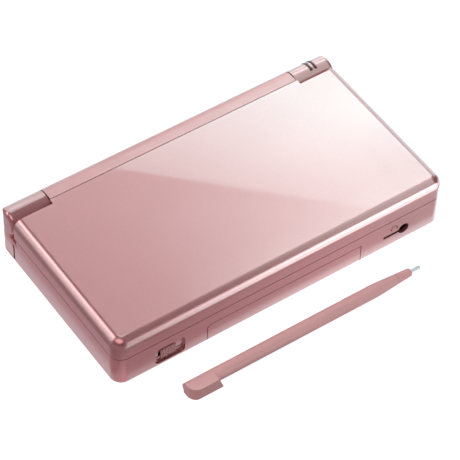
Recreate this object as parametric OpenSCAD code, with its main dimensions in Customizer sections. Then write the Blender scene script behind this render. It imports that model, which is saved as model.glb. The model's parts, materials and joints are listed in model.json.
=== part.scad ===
// Clamshell handheld game console, closed, with its stylus lying in front.
// Millimetres. X runs left to right, Y from front to hinge, Z up.
// The origin is the centre of the console's underside.

/* [Body] */
// Width of the console, left to right
body_w = 133; // [131:0.5:135]
// Depth of the console, front face to the back of the hinge
body_d = 73.9; // [73:0.1:74.5]
// Height of the base, underside to its top rim
base_h = 13.1; // [13.0:0.05:13.2]
// Gap between the base rim and the lid rim when closed
seam_gap = 0.2; // [0.15:0.05:0.3]
// Overall height when closed
total_h = 21.4; // [21.3:0.1:21.8]
// Plan radius of the four corners
corner_r = 4.5; // [4.2:0.1:5]
// Wall thickness of the outer shells
wall = 1.6; // [1.5:0.05:1.7]
// Radius of the lid's top edge
lid_edge_r = 3.5; // [2.5:0.25:3.5]
// Radius of the base's bottom edge
base_edge_r = 2; // [1.5:0.25:2]

/* [Hinge] */
// Outer radius of the hinge barrel and knuckles
barrel_r = 4.95; // [4.8:0.05:4.95]
// Half of the barrel's length that turns with the lid
barrel_half = 50.5; // [50:0.25:50.75]
// Clearance between the barrel and the trough it turns in
barrel_gap = 0.3; // [0.2:0.05:0.3]
// Radius of the hinge pins
hinge_pin_r = 2.4; // [2.2:0.1:2.4]
// Radial running clearance on the hinge pins
hinge_fit = 0.05; // [0.03:0.01:0.08]

/* [Screens] */
// Width of both screen openings
screen_w = 62; // [60:0.5:62]
// Depth of both screen openings
screen_d = 47; // [45:0.5:47]
// Distance of the screen centre in front of the console's centre
screen_off = 6; // [5.5:0.25:6.5]

/* [Controls] */
// Distance of the direction pad and button cluster from the middle
control_x = 49.4; // [49:0.1:50]
// Position of both clusters along the depth
control_y = 3; // [1:0.5:4]
// Overall span of the direction pad
dpad_span = 19.5; // [17:0.5:20]
// Width of one arm of the direction pad
dpad_arm = 6.4; // [5.5:0.1:7]
// Radius of a face button
face_r = 3.4; // [3:0.1:3.6]
// Distance of each face button from the cluster's centre
face_off = 7.2; // [7:0.1:7.4]
// Press travel of every deck button
press = 0.5; // [0.3:0.1:0.6]

/* [Card bays] */
// Width of the front cartridge bay
bay_w = 61; // [59:0.5:61]
// Width of the rear card slot
card_w = 34.6; // [34:0.1:35]

/* [Audio jack] */
// Radius of the headphone socket, for a 3.5 mm plug
jack_r = 1.8; // [1.78:0.01:1.85]
// Distance of the socket to the right of the middle
jack_x = 49.6; // [49:0.1:50]
// Height of the socket's axis
jack_z = 6.5; // [6:0.1:6.6]

/* [Stylus] */
// Radius of the stylus shaft
stylus_r = 2.4; // [2.2:0.05:2.4]
// Length from the cap's end to the tip of the nib
stylus_len = 95; // [88:1:95]
// Length of the cap
cap_len = 12; // [10:0.5:12]
// Depth of the cap across the shaft
cap_w = 6.25; // [6:0.05:6.25]
// Distance from the console's middle to the stylus shaft
stylus_y = 51.45; // [50:0.05:54]

/* [Hidden] */
$fn = 64;
hw = body_w / 2;                      // 66.5
hd = body_d / 2;                      // 36.95
hinge_y = hd - barrel_r;              // 32.0
lid_z0 = base_h + seam_gap;           // 13.3
hinge_z = total_h - 0.15 - barrel_r;  // 16.3
deck_z0 = base_h - 2.0;               // 11.1
deck_z1 = base_h - 0.8;               // 12.3
bezel_z0 = lid_z0 + 0.8;              // 14.1
bezel_z1 = bezel_z0 + 1.1;            // 15.2
trough_r = barrel_r + barrel_gap;     // 5.25
board_z0 = 7.3;
board_z1 = 8.1;
floor_t = 1.4;                        // thickness of the base's floor
silo_r = stylus_r + 0.2;              // 2.6
silo_ro = silo_r + 0.35;              // 2.95
silo_z = floor_t + silo_ro;           // 4.35
ledge_z = 10.8;                       // top of the base's rear corners
lid_back = 28.8;                      // rear edge of the lid's top plate
corner_back = hinge_y - trough_r;     // 26.75, rear edge of the lid's corners
screw_front = [60.6, -31.2];
screw_rear = [38.5, 31.0];
screws = [for (sx = [-1, 1]) for (p = [screw_front, screw_rear]) [sx * p[0], p[1]]];
sh_x0 = 45.8;                         // inner end of a shoulder button
sh_y0 = 27.7;                         // its front edge on the side face
sh_z0 = 2.4;
sh_z1 = 8.9;
sh_pin = [46.9, 34.4];                // its pivot
small_x = 46.5;                       // column of the two small buttons
small_y = [-13.6, -20.4];
vol_c = [-45.7, 5.8];                 // centre of the volume recess on the front face
pwr_c = [16, 6.2];                    // centre of the power recess on the right face

rose = [0.74, 0.50, 0.50];
rose_light = [0.82, 0.62, 0.62];
smoke = [0.32, 0.28, 0.29];

// ---- shared shapes -------------------------------------------------

// Rounded rectangle with true arcs, centred
module rrect(w, d, r) {
  union() {
    square([w - 2 * r, d], center = true);
    square([w, d - 2 * r], center = true);
    for (sx = [-1, 1]) for (sy = [-1, 1])
      translate([sx * (w / 2 - r), sy * (d / 2 - r)]) circle(r);
  }
}

// Half of a slab's section: foot radius eb, shoulder radius et
module half_section(half, h, eb, et) {
  union() {
    translate([0, eb]) square([half, h - eb - et]);
    square([half - max(eb, et), h]);
    if (eb > 0) { square([half - eb, eb + 0.01]); translate([half - eb, eb]) circle(eb); }
    if (et > 0) { translate([0, h - et - 0.01]) square([half - et, et + 0.01]); translate([half - et, h - et]) circle(et); }
  }
}

// Slab with rounded plan corners and rounded foot or shoulder edges
module slab(w, d, r, h, eb = 0, et = 0) {
  union() {
    rotate([90, 0, 0]) linear_extrude(d - 2 * r, center = true)
      union() { half_section(w / 2, h, eb, et); mirror([1, 0]) half_section(w / 2, h, eb, et); }
    rotate([90, 0, 90]) linear_extrude(w - 2 * r, center = true)
      union() { half_section(d / 2, h, eb, et); mirror([1, 0]) half_section(d / 2, h, eb, et); }
    for (sx = [-1, 1]) for (sy = [-1, 1])
      translate([sx * (w / 2 - r), sy * (d / 2 - r), 0])
        rotate_extrude() intersection() { half_section(r, h, eb, et); square([r, h]); }
  }
}

// Box from its lowest corner to its highest
module bx(a, b) { translate(a) cube([b[0] - a[0], b[1] - a[1], b[2] - a[2]]); }

// Cylinder along X between two x values
module cx(r, x0, x1, y = 0, z = 0) { translate([x0, y, z]) rotate([0, 90, 0]) cylinder(r = r, h = x1 - x0); }

// Cylinder along Y between two y values
module cy(r, y0, y1, x = 0, z = 0) { translate([x, y1, z]) rotate([90, 0, 0]) cylinder(r = r, h = y1 - y0); }

// Pan-head screw, head down, with a cross recess
module screw(head_r, head_h, shank_r, len) {
  difference() {
    union() { cylinder(r = head_r, h = head_h); cylinder(r = shank_r, h = len); }
    for (a = [0, 90]) rotate(a) translate([-head_r * 0.6, -0.2, -0.1]) cube([head_r * 1.2, 0.4, head_h * 0.6]);
  }
}

// ---- base ----------------------------------------------------------

// L-shaped pocket for a shoulder button in the left rear corner
module shoulder_zone(grow, depth, z0, z1) {
  translate([0, 0, z0]) linear_extrude(z1 - z0) intersection() {
    difference() { square([body_w + 1, body_d + 1], center = true); rrect(body_w - 2 * depth, body_d - 2 * depth, corner_r - 1.7); }
    translate([-hw - 1, sh_y0 - grow]) square([hw + 1 - sh_x0 + grow, 20]);
  }
}

// Upright plate on the front face with its upper left corner cut off
module front_plate(x0, x1, top, y0, y1) {
  translate([0, y1, 0]) rotate([90, 0, 0]) linear_extrude(y1 - y0)
    polygon([[x0, -1], [x1, -1], [x1, top], [x0 + 1.4, top], [x0, top - 1.0]]);
}

module lower_case() {
  color(rose) difference() {
    union() {
      difference() {
        slab(body_w, body_d, corner_r, base_h, base_edge_r, 0);
        // inner space, kept clear of the rear corner blocks
        difference() {
          translate([0, 0, floor_t]) linear_extrude(base_h) rrect(body_w - 2 * wall, body_d - 2 * wall, corner_r - wall);
          for (s = [-1, 1]) scale([s, 1, 1]) bx([-hw, 26.6, 0], [-43.6, hd, ledge_z]);
        }
      }
      // ribs beside the cartridge bay
      for (x = [-bay_w / 2 - 1.2, bay_w / 2 + 0.45]) bx([x, -hd + wall, floor_t], [x + 1, -8, board_z0 - 0.05]);
      // front and rear screw posts
      for (p = screws) translate([p[0], p[1], floor_t - 0.1]) cylinder(r = 2.3, h = board_z0 - 0.05 - floor_t + 0.1);
      // sheath round the stylus cap's pocket
      bx([53.2, -3.9, floor_t - 0.1], [hw - wall, 5.4, board_z0 - 0.05]);
    }
    // rear: trough for the hinge barrel and seats for the knuckles
    bx([-hw - 1, 25.4, 9.75], [hw + 1, hd + 1, base_h + 1]);
    // cartridge bay mouth and the cover's seat
    bx([-bay_w / 2, -hd - 1, floor_t], [bay_w / 2, -hd + wall + 1, 7.2]);
    front_plate(-31.1, 31.6, 8.75, -hd - 1, -hd + wall + 0.05);
    bx([-31.1, -hd - 1, -1], [31.6, -34.5, floor_t + 0.05]);
    // rear card slot
    bx([-card_w / 2, hd - wall - 1, 2.9], [card_w / 2, hd + 1, 7.05]);
    // power inlet
    bx([23.8, hd - wall - 1, 2.9], [32.2, hd + 1, 6.6]);
    // headphone socket and the plain slot beside it
    cy(2.15, -hd - 1, -hd + wall + 1, jack_x, jack_z);
    bx([41.1, -hd - 1, jack_z - 0.75], [jack_x, -hd + wall + 1, jack_z + 0.35]);
    // volume recess: a shallow outer dish and a through window
    translate([vol_c[0], -hd - 0.5, vol_c[1]]) rotate([-90, 0, 0]) linear_extrude(1.5) rrect(11.8, 7.2, 1.6);
    bx([vol_c[0] - 4.9, -hd - 1, vol_c[1] - 1.4], [vol_c[0] + 4.9, -hd + wall + 1, vol_c[1] + 1.4]);
    // power recess: a shallow outer dish and a through window
    translate([hw - 0.9, pwr_c[0], pwr_c[1]]) rotate([90, 0, 90]) linear_extrude(2) rrect(13, 4.6, 1.2);
    bx([hw - wall - 1, pwr_c[0] - 4.6, pwr_c[1] - 1.2], [hw + 1, pwr_c[0] + 4.6, pwr_c[1] + 1.2]);
    // stylus silo and the cap's pocket at its mouth
    cx(silo_ro + 0.02, 52, 54.31, 0, silo_z);
    bx([54.3, -2.75, 1.15], [hw + 1, 4.2, 7.0]);
    // battery bay in the floor
    bx([-63.2, -29.2, -1], [-33.2, 27, 0.9]);
    bx([-61.6, -27.6, -1], [-34.8, 24.0, floor_t + 1]);
    translate([-36.6, 25.4, -0.1]) cylinder(r = 0.8, h = 3);
    // counterbores and holes for the case screws
    for (p = screws) translate([p[0], p[1], -0.1]) { cylinder(r = 2.1, h = 2.9); cylinder(r = 1.05, h = 9); }
    // seats for the rear rubber feet
    for (s = [-1, 1]) translate([s * 58.5, 31.4, -0.1]) cylinder(r = 2.1, h = 0.9);
    // shoulder button pockets with room to swing, switch seats and pivots
    for (s = [-1, 1]) scale([s, 1, 1]) {
      shoulder_zone(0.82, 3.3, sh_z0 - 0.2, sh_z1 + 0.2);
      translate([-sh_pin[0], sh_pin[1], sh_z0 - 0.2]) cylinder(r = 2.0, h = sh_z1 - sh_z0 + 0.4);
      translate([-sh_pin[0], sh_pin[1], 1.4]) cylinder(r = 0.62, h = 8.3);
      bx([-60.2, 30.0, 3.6], [-55.8, 34, 8.0]);
    }
    // hand-strap recess
    bx([-31.4, hd - 3.2, 3.0], [-25.4, hd + 1, 8.2]);
    translate([-28.4, hd - 1.0, 2.65]) cylinder(r = 0.77, h = 5.9);
  }
}

// One knuckle block of the base: pedestal and rounded cylinder, left side
module knuckle() {
  difference() {
    union() {
      // barrel-shaped top with a rounded outer end
      translate([-hw + 0.4, hinge_y, hinge_z]) rotate([0, 90, 0]) rotate_extrude() union() {
        translate([0, 1.5]) square([barrel_r, hw - 0.4 - barrel_half - 0.4 - 1.5 - 0.4]);
        square([barrel_r - 1.5, 2]);
        translate([barrel_r - 1.5, 1.5]) circle(1.5);
        square([barrel_r - 0.4, hw - barrel_half - 0.8]);
      }
      // pedestal down to the ledge, inside the plan outline
      translate([0, 0, ledge_z + 0.05]) linear_extrude(hinge_z - ledge_z) intersection() {
        rrect(body_w, body_d, corner_r);
        translate([-hw, hinge_y - 3.3]) square([hw - barrel_half - 0.4, 10]);
      }
    }
    // bore for the hinge pin
    cx(hinge_pin_r + 0.02, -hw + 4, -barrel_half, hinge_y, hinge_z);
  }
}

module upper_case() {
  color(rose) difference() {
    union() {
      // control deck
      translate([0, 0, deck_z0]) linear_extrude(deck_z1 - deck_z0) intersection() {
        rrect(body_w - 2 * wall - 0.2, body_d - 2 * wall - 0.2, corner_r - wall);
        translate([-hw, -hd]) square([body_w, hd + 26.3]);
      }
      // wall and floor of the hinge trough
      difference() {
        union() {
          bx([-hw + wall + 0.1, 25.6, 9.8], [hw - wall - 0.1, 27.3, 13.05]);
          bx([-barrel_half - 0.4, 25.6, 9.8], [barrel_half + 0.4, 28.6, 13.05]);
          bx([-barrel_half - 2.3, 25.6, 9.8], [barrel_half + 2.3, hd, 11.0]);
        }
        cx(trough_r, -barrel_half - 0.35, barrel_half + 0.35, hinge_y, hinge_z);
      }
      // rear corner decks that carry the knuckles
      intersection() {
        translate([0, 0, 9.8]) linear_extrude(1.1) rrect(body_w, body_d, corner_r);
        union() for (s = [-1, 1]) scale([s, 1, 1]) bx([-hw - 1, 25.6, 9.7], [-barrel_half - 0.4, hd + 1, 11]);
      }
      knuckle();
      mirror([1, 0, 0]) knuckle();
      // screw posts
      for (p = [screws[0], screws[2]]) translate([p[0], p[1], board_z1 + 0.05]) cylinder(r = 2.2, h = deck_z0 - board_z1);
      for (p = [screws[1], screws[3]]) translate([p[0], p[1], board_z1 + 0.05]) cylinder(r = 2.2, h = 9.85 - board_z1);
    }
    // screen opening
    translate([0, -screen_off, deck_z0 - 1]) linear_extrude(4) rrect(screen_w, screen_d, 1.2);
    // direction pad and button openings
    translate([-control_x, control_y, deck_z0 - 1]) linear_extrude(4) union() {
      rrect(dpad_span + 0.5, dpad_arm + 0.5, 0.9);
      rrect(dpad_arm + 0.5, dpad_span + 0.5, 0.9);
    }
    for (a = [0, 90, 180, 270]) translate([control_x, control_y, deck_z0 - 1]) rotate(a) translate([face_off, 0, 0]) cylinder(r = face_r + 0.2, h = 4);
    for (y = small_y) translate([small_x, y, deck_z0 - 1]) cylinder(r = 1.9, h = 4);
    // screw pilot holes
    for (p = screws) translate([p[0], p[1], board_z1 - 0.1]) cylinder(r = 0.87, h = 2.6);
    // seats for the two light pipes on the right knuckle
    for (x = [58.2, 60.2]) translate([x - 0.5, hinge_y, hinge_z]) rotate([0, 90, 0]) difference() {
      cylinder(r = barrel_r + 1, h = 1.0);
      translate([0, 0, -0.1]) cylinder(r = barrel_r - 0.55, h = 1.2);
      bx([-0.2, -9, -1], [9, 9, 3]);
      bx([-9, -9, -1], [9, -1.9, 3]);
    }
  }
}

module battery_cover() {
  color(rose) difference() {
    union() {
      bx([-63.1, -29.1, 0], [-33.3, 26.9, 0.85]);
      bx([-61.5, -27.5, 0.8], [-34.9, 23.9, 1.35]);
    }
    translate([-36.6, 25.4, -0.1]) cylinder(r = 0.75, h = 3);
    translate([-36.6, 25.4, -0.1]) cylinder(r = 1.25, h = 0.6);
    for (i = [0:4]) bx([-52 + i * 1.6, -26.5, -0.1], [-51.2 + i * 1.6, -22.5, 0.3]);
  }
}
module battery_cover_screw() { color("silver") translate([-36.6, 25.4, 0.05]) screw(1.15, 0.42, 0.68, 2.6); }
module battery_pack() {
  color("dimgray") union() {
    translate([-48.2, -1.8, 1.9]) linear_extrude(5.3) rrect(26.4, 51.0, 2);
    bx([-55, 23.6, 2.4], [-41.4, 24.0, 5.6]);
  }
}
module battery_contacts() {
  color("gold") union() {
    bx([-55, 24.9, 1.5], [-41.4, 26.5, 6.2]);
    for (i = [0:3]) bx([-53.4 + i * 3.4, 24.1, 2.6], [-52.0 + i * 3.4, 25.0, 5.4]);
  }
}

module main_board() {
  color("seagreen") translate([0, 0, board_z0]) linear_extrude(board_z1 - board_z0) difference() {
    translate([-64.4, -34.8]) square([128.8, 61.2]);
    for (p = screws) translate(p) circle(1.3);
    for (sx = [-1, 1]) translate([sx * 64.4, -34.8]) rotate(45) square([2.5, 2.5], center = true);
    translate([jack_x - 8.9, -36]) square([11.6, 13.0]);
    translate([vol_c[0] - 5.3, -36]) square([10.6, 5.5]);
    translate([61.2, pwr_c[0] - 5]) square([5, 10]);
  }
}
module board_chips() {
  color([0.15, 0.15, 0.16]) union() {
    bx([22.6, 9, 6.0], [36, 22.4, board_z0]);
    bx([39, 10, 6.3], [47, 20, board_z0]);
    bx([-30.5, 6, 6.2], [-20.6, 15, board_z0]);
    bx([-29.5, 17, 6.5], [-21.6, 23, board_z0]);
    for (i = [0:5]) bx([40 + i * 2.6, 22, 6.7], [41.4 + i * 2.6, 23.2, board_z0]);
  }
}
module rf_shield() {
  color("silver") difference() {
    bx([34.2, -19.6, 4.6], [52.2, -5.2, board_z0]);
    bx([34.5, -19.3, 4.9], [51.9, -5.5, board_z0 + 1]);
  }
}
module wifi_module() {
  color("darkgreen") union() {
    bx([35, -18.8, 6.3], [51.4, -6, board_z0 - 0.1]);
    bx([38, -16, 5.1], [46, -9, 6.3]);
  }
}

// Metal cage of the rear card slot, open to the back
module slot1_reader() {
  color("silver") difference() {
    bx([-card_w / 2 - 0.9, 3.7, floor_t + 0.05], [card_w / 2 + 0.9, hd - wall - 0.05, board_z0 - 0.02]);
    bx([-card_w / 2, 5.2, 2.9], [card_w / 2, hd, 7.05]);
    for (i = [0:16]) bx([-16.6 + i * 2, 3, 3.2], [-15.8 + i * 2, 6, 4.0]);
  }
}
module slot2_connector() {
  color([0.2, 0.2, 0.2]) difference() {
    bx([-29, -7.9, floor_t + 0.1], [29, -3.95, board_z0 - 0.05]);
    bx([-26.5, -8.5, 3.2], [26.5, -5.2, 5.2]);
  }
}
module touch_panel() { color([0.55, 0.6, 0.6, 0.6]) translate([0, -screen_off, 9.95]) linear_extrude(1.1) rrect(screen_w + 2.4, screen_d + 2.4, 0.8); }
module lower_lcd() {
  color([0.12, 0.13, 0.15]) union() {
    translate([0, -screen_off, 8.2]) linear_extrude(1.7) rrect(screen_w + 4, screen_d + 3.4, 0.8);
    bx([-9, 18.5, 8.2], [9, 22.4, 8.7]);
  }
}
module dpad_membrane() {
  color("whitesmoke") union() {
    translate([-control_x, control_y, board_z1 + 0.03]) linear_extrude(0.45) rrect(24, 24, 3);
    for (a = [0, 90, 180, 270]) translate([-control_x, control_y, board_z1]) rotate(a) translate([6.6, 0, 0.4]) cylinder(r = 1.9, h = 0.5);
  }
}
module face_button_membrane() {
  color("whitesmoke") union() {
    translate([control_x, control_y, board_z1 + 0.03]) linear_extrude(0.45) rrect(24, 24, 4);
    for (a = [0, 90, 180, 270]) translate([control_x, control_y, board_z1]) rotate(a) translate([face_off, 0, 0.4]) cylinder(r = 2.4, h = 0.5);
  }
}
module start_select_membrane() {
  color("whitesmoke") union() {
    translate([small_x, (small_y[0] + small_y[1]) / 2, board_z1 + 0.03]) linear_extrude(0.45) rrect(6, 12, 2);
    for (y = small_y) translate([small_x, y, board_z1 + 0.4]) cylinder(r = 1.3, h = 0.5);
  }
}

module shoulder_pins() {
  color("silver") for (s = [-1, 1]) translate([s * sh_pin[0], sh_pin[1], 1.45]) cylinder(r = 0.6, h = 8.2);
}
module shoulder_switches() {
  color([0.2, 0.2, 0.2]) for (s = [-1, 1]) scale([s, 1, 1]) union() {
    bx([-60.1, 30.1, 3.7], [-55.9, 31.9, 7.9]);
    cy(0.7, 31.8, 32.5, -58, 5.8);
  }
}
module volume_potentiometer() {
  color("silver") difference() {
    bx([vol_c[0] - 5.1, -34.2, vol_c[1] - 2.6], [vol_c[0] + 5.1, -30.8, 8.9]);
    bx([vol_c[0] - 4.5, -34.5, vol_c[1] - 0.8], [vol_c[0] + 4.5, -32.4, vol_c[1] + 0.8]);
  }
}
module power_switch() {
  color("silver") difference() {
    bx([61.6, pwr_c[0] - 4.8, pwr_c[1] - 2.2], [63.7, pwr_c[0] + 4.8, 8.6]);
    bx([62.2, pwr_c[0] - 3.4, pwr_c[1] - 0.6], [64, pwr_c[0] + 3.4, pwr_c[1] + 0.6]);
  }
}
module headphone_jack() {
  color([0.12, 0.12, 0.12]) difference() {
    union() {
      bx([jack_x - 8.6, -hd + wall + 0.05, 3.2], [jack_x + 2.5, -23.3, 8.9]);
      cy(2.1, -hd + 0.35, -hd + wall + 0.1, jack_x, jack_z);
    }
    cy(jack_r, -hd - 1, -23.9, jack_x, jack_z);
    bx([41.3, -hd - 1, jack_z - 0.75], [jack_x - 2.3, -28, jack_z + 0.35]);
  }
}
module power_connector() {
  color([0.15, 0.15, 0.15]) difference() {
    bx([22.8, 27.5, 1.9], [33.2, hd - wall - 0.05, board_z0 - 0.3]);
    bx([23.9, 29.5, 2.95], [32.1, hd, 6.55]);
    bx([25.6, 27, 4.4], [30.4, 30, 5.0]);
  }
}
// One light pipe wrapped over the right knuckle
module led_pipe(x) {
  translate([x - 0.46, hinge_y, hinge_z]) rotate([0, 90, 0]) difference() {
    cylinder(r = barrel_r + 0.14, h = 0.92);
    translate([0, 0, -0.1]) cylinder(r = barrel_r - 0.5, h = 1.2);
    bx([-0.25, -9, -1], [9, 9, 3]);
    bx([-9, -9, -1], [9, -1.85, 3]);
  }
}
module led_pipe_power() { color(smoke) led_pipe(58.2); }
module led_pipe_charge() { color(smoke) led_pipe(60.2); }
module case_screws() {
  color("silver") for (p = screws) translate([p[0], p[1], 1.7]) screw(1.9, 1.0, 0.85, 8.3);
}
module rubber_feet() {
  color(rose_light) union() {
    for (p = [screws[0], screws[2]]) translate([p[0], p[1], 0.02]) cylinder(r = 2.05, h = 1.5);
    for (s = [-1, 1]) translate([s * 58.5, 31.4, 0.02]) cylinder(r = 2.05, h = 0.75);
  }
}
module strap_bar() { color(rose) translate([-28.4, hd - 1.0, 2.7]) cylinder(r = 0.75, h = 5.8); }
module stylus_silo() {
  color([0.25, 0.25, 0.25]) difference() {
    cx(silo_ro, -30.4, 54.3, 0, silo_z);
    cx(silo_r, -29.4, 55, 0, silo_z);
  }
}
module hinge_sleeve_left() {
  color("silver") difference() {
    cx(hinge_pin_r, -hw + 4.2, -barrel_half + 4.5, hinge_y, hinge_z);
    cx(1.6, -hw + 4, -barrel_half + 5, hinge_y, hinge_z);
  }
}
module hinge_unit_right() {
  color("silver") union() {
    cx(hinge_pin_r, barrel_half - 4.5, hw - 4.2, hinge_y, hinge_z);
    cx(1.2, barrel_half - 8.5, barrel_half - 4.4, hinge_y, hinge_z);
  }
}

// ---- lid -----------------------------------------------------------

module lid_case() {
  color(rose_light) difference() {
    translate([0, 0, lid_z0]) slab(body_w, body_d, corner_r, total_h - lid_z0, 0, lid_edge_r);
    // hollow underside
    translate([0, 0, lid_z0 - 1]) linear_extrude(total_h - 1.3 - lid_z0 + 1) intersection() {
      rrect(body_w - 2 * wall, body_d - 2 * wall, corner_r - wall);
      union() {
        translate([-hw, -hd]) square([body_w, hd + corner_back - wall]);
        translate([-barrel_half - 0.1, -hd]) square([2 * barrel_half + 0.2, body_d]);
      }
    }
    // straight rear edge and the two corner cut-outs round the knuckles
    bx([-hw - 1, lid_back, lid_z0 - 1], [hw + 1, hd + 1, total_h + 1]);
    for (s = [-1, 1]) scale([s, 1, 1]) bx([-hw - 1, corner_back, lid_z0 - 1], [-barrel_half - 0.35, hd, total_h + 1]);
    bx([-barrel_half - 0.5, 25.0, lid_z0 - 1], [barrel_half + 0.5, hd, total_h - 1.3]);
  }
}

// Inner frame with the hinge barrel
module lid_bezel() {
  color(rose) difference() {
    union() {
      translate([0, 0, bezel_z0]) linear_extrude(bezel_z1 - bezel_z0) intersection() {
        rrect(body_w - 2 * wall - 0.2, body_d - 2 * wall - 0.2, corner_r - wall);
        translate([-hw, -hd]) square([body_w, hd + corner_back - wall - 0.1]);
      }
      // barrel, its flat top strip and the web to the frame
      cx(barrel_r, -barrel_half, barrel_half, hinge_y, hinge_z);
      bx([-barrel_half, lid_back + 0.3, hinge_z], [barrel_half, hinge_y, hinge_z + barrel_r]);
      bx([-barrel_half, 24.5, bezel_z0], [barrel_half, hinge_y - 3, bezel_z1]);
      // posts for the lid screws
      for (sx = [-1, 1]) for (y = [-31.2, 20.5]) translate([sx * 60.8, y, bezel_z1 - 0.1]) cylinder(r = 1.9, h = 4.3);
    }
    // hollow of the barrel and its end bores
    cx(3.75, -barrel_half + 2.4, barrel_half - 2.4, hinge_y, hinge_z);
    cx(hinge_pin_r + hinge_fit, -barrel_half - 1, barrel_half + 1, hinge_y, hinge_z);
    // slot for the screen cable
    bx([-8, 24.4, hinge_z - 0.9], [8, hinge_y - 2, hinge_z + 0.6]);
    // screen opening
    translate([0, -screen_off, bezel_z0 - 1]) linear_extrude(4) rrect(screen_w, screen_d, 1.2);
    // speaker grilles, two columns of three each side
    for (s = [-1, 1]) for (i = [-1, 1]) for (j = [-1, 0, 1])
      translate([s * 49 + i * 2.2, -screen_off + j * 4.4, bezel_z0 - 1]) cylinder(r = 0.9, h = 4);
    // microphone hole, facing the front when open
    translate([0, hinge_y, hinge_z]) rotate([145, 0, 0]) cylinder(r = 0.5, h = 8);
    // seats for the bumpers and the screws
    for (sx = [-1, 1]) for (y = [-31.2, 20.5]) translate([sx * 60.8, y, bezel_z0 - 0.1]) {
      cylinder(r = 1.65, h = 1.5);
      cylinder(r = 0.75, h = 5.6);
    }
  }
}
module upper_lcd() {
  color([0.12, 0.13, 0.15]) union() {
    translate([0, -screen_off, 16.15]) linear_extrude(2.2) rrect(screen_w + 4, screen_d + 3.4, 0.8);
    bx([-7.5, 18.5, 16.15], [7.5, 20.4, 16.8]);
  }
}
module upper_window() { color([0.6, 0.65, 0.65, 0.5]) translate([0, -screen_off, bezel_z1 + 0.05]) linear_extrude(0.85) rrect(screen_w + 2.4, screen_d + 2.4, 0.8); }
module speaker(x) {
  color([0.18, 0.18, 0.18]) translate([x, -screen_off, bezel_z1 + 0.05]) difference() {
    union() { cylinder(r = 8.2, h = 2.2); translate([0, 0, 2.1]) cylinder(r = 5.2, h = 1.5); }
    translate([0, 0, -0.1]) cylinder(r = 7.2, h = 0.9);
  }
}
module speaker_left() { speaker(-49); }
module speaker_right() { speaker(49); }
module screen_flex() {
  color("orange") union() {
    bx([-6, 20.5, 16.2], [6, 27.0, 16.4]);
    bx([-6, 26.9, 16.0], [6, hinge_y - 1.4, 16.2]);
    difference() { cx(1.9, -6, 6, hinge_y, hinge_z); cx(1.5, -7, 7, hinge_y, hinge_z); }
    bx([-6, 20.5, 16.2], [6, 20.7, 17.6]);
  }
}
module microphone() {
  color("silver") translate([0, hinge_y, hinge_z]) rotate([145, 0, 0]) translate([0, 0, 2.2]) cylinder(r = 1.3, h = 1.2);
}
module antenna_strip() { color("gold") bx([-63.5, -26, 17.6], [-58.6, 14, 18.0]); }
module lid_bumpers() {
  color([0.3, 0.25, 0.25]) for (sx = [-1, 1]) for (y = [-31.2, 20.5]) translate([sx * 60.8, y, deck_z1 + 0.05]) cylinder(r = 1.6, h = 1.95);
}
module lid_screws() {
  color("silver") for (sx = [-1, 1]) for (y = [-31.2, 20.5]) translate([sx * 60.8, y, bezel_z0 + 0.3]) screw(1.45, 0.8, 0.7, 4.9);
}
module hinge_click_housing() {
  color("dimgray") difference() {
    intersection() {
      cx(3.7, barrel_half - 12.5, barrel_half - 5.2, hinge_y, hinge_z);
      bx([0, hinge_y - 3.1, hinge_z - 3.1], [hw, hinge_y + 3.1, hinge_z + 3.1]);
    }
    cx(1.3, barrel_half - 10, hw, hinge_y, hinge_z);
  }
}

// ---- pieces that move ------------------------------------------------

module slot2_dust_cover() {
  color(rose) union() {
    intersection() {
      slab(body_w, body_d, corner_r, base_h, base_edge_r, 0);
      union() {
        front_plate(-31, 31.5, 8.65, -hd - 1, -hd + wall);
        bx([-31, -hd - 1, -1], [31.5, -34.6, floor_t]);
      }
    }
    // hollow plug that fills the mouth of the bay
    difference() {
      bx([-bay_w / 2 + 0.25, -hd + wall - 0.1, floor_t + 0.15], [bay_w / 2 - 0.25, -27.5, 7.05]);
      bx([-bay_w / 2 + 1.3, -34.4, floor_t + 1.0], [bay_w / 2 - 1.3, -27, 6.2]);
    }
  }
}
module dpad() {
  color(rose_light) difference() {
    union() {
      translate([-control_x, control_y, 9.6]) linear_extrude(4.0) union() {
        rrect(dpad_span, dpad_arm, 0.7);
        rrect(dpad_arm, dpad_span, 0.7);
      }
      translate([-control_x, control_y, 9.6]) cylinder(r = 10.4, h = 0.9);
    }
    translate([-control_x, control_y, 18.3]) sphere(r = 5.2);
  }
}
module face_button(a) {
  color(rose_light) translate([control_x, control_y, 9.6]) rotate(a) translate([face_off, 0, 0]) rotate_extrude() union() {
    square([face_r, 3.6]);
    square([face_r - 0.4, 4.0]);
    translate([face_r - 0.4, 3.6]) intersection() { circle(0.4); square(1); }
    square([face_r + 0.75, 0.9]);
  }
}
module button_a() { face_button(0); }
module button_x() { face_button(90); }
module button_y() { face_button(180); }
module button_b() { face_button(270); }
module small_button(y) {
  color(rose_light) translate([small_x, y, 9.6]) rotate_extrude() union() {
    square([1.7, 3.5]);
    square([2.5, 0.9]);
  }
}
module button_start() { small_button(small_y[0]); }
module button_select() { small_button(small_y[1]); }

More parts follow.
